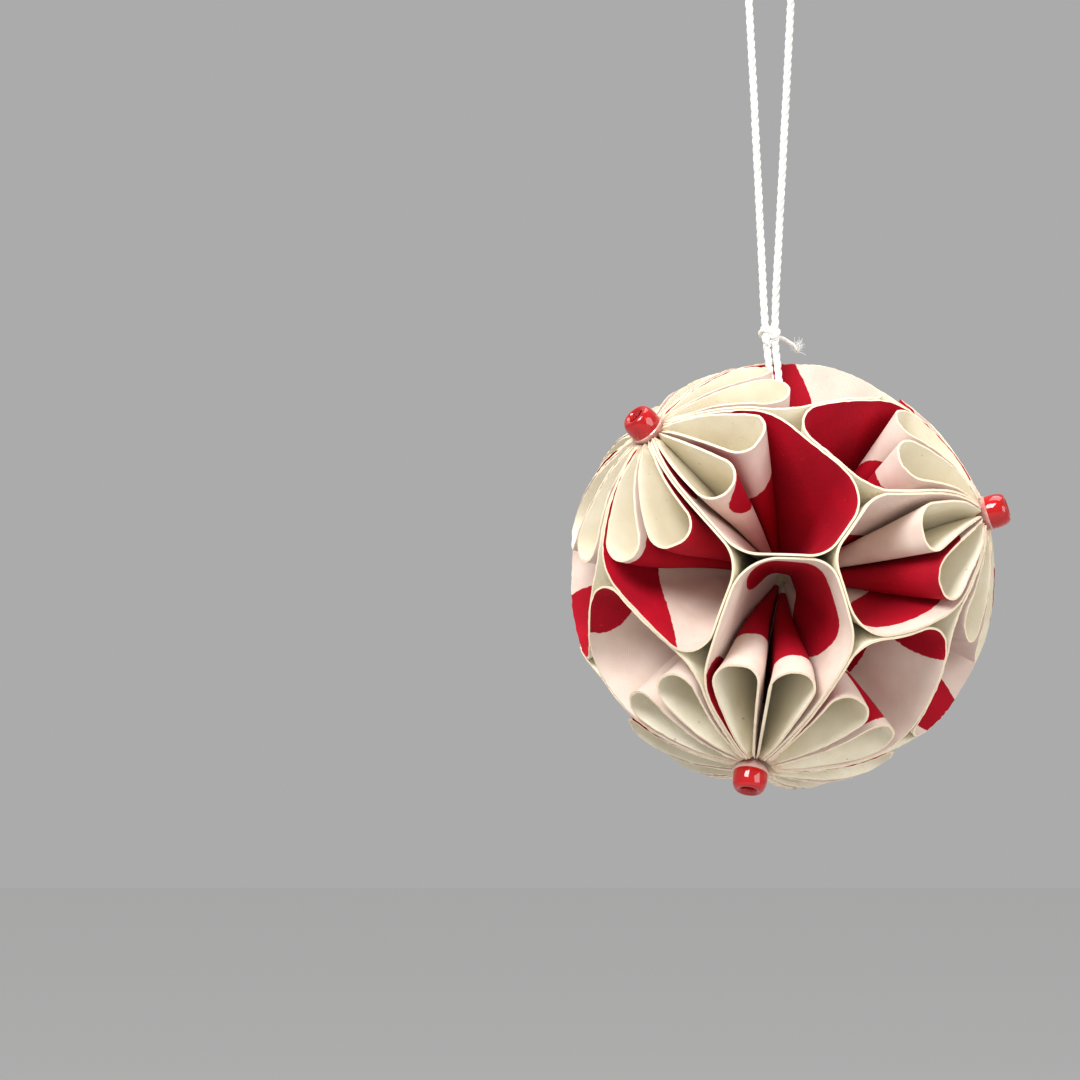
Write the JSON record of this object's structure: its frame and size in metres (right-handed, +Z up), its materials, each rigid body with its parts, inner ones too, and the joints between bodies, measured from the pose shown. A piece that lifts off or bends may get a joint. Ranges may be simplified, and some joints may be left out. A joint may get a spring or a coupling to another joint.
{
  "type": "kusudama paper ball",
  "caption": "Hanging ball of folded round paper petals in four flowers, each with a glass bead at its centre, on a twisted cotton cord loop.",
  "frame": {"origin": "the ball's centre, where the points of all the paper cones meet", "axes": "+Z up along the hanging cord, +X to the right and -Y towards the viewer, as it hangs"},
  "size_m": [0.0611, 0.0627, 0.1219],
  "materials": {
    "printed_paper": "matte cotton paper with crimson print on one side",
    "red_glass": "glossy red glass",
    "glue": "clear dried glue",
    "cord": "white twisted cotton"
  },
  "bodies": {
    "root": {"back_bead": "red_glass", "back_glue": "glue", "back_petal_1": "printed_paper", "back_petal_2": "printed_paper", "back_petal_3": "printed_paper", "back_petal_4": "printed_paper", "back_petal_5": "printed_paper", "back_petal_6": "printed_paper", "cord_knot": "cord", "cord_stem_left": "cord", "cord_stem_right": "cord", "cord_tail": "cord", "hanging_loop": "cord", "lower_bead": "red_glass", "lower_glue": "glue", "lower_petal_1": "printed_paper", "lower_petal_2": "printed_paper", "lower_petal_3": "printed_paper", "lower_petal_4": "printed_paper", "lower_petal_5": "printed_paper", "lower_petal_6": "printed_paper", "right_bead": "red_glass", "right_glue": "glue", "right_petal_1": "printed_paper", "right_petal_2": "printed_paper", "right_petal_3": "printed_paper", "right_petal_4": "printed_paper", "right_petal_5": "printed_paper", "right_petal_6": "printed_paper", "upper_left_bead": "red_glass", "upper_left_glue": "glue", "upper_left_petal_1": "printed_paper", "upper_left_petal_2": "printed_paper", "upper_left_petal_3": "printed_paper", "upper_left_petal_4": "printed_paper", "upper_left_petal_5": "printed_paper", "upper_left_petal_6": "printed_paper"}
  },
  "joints": []
}
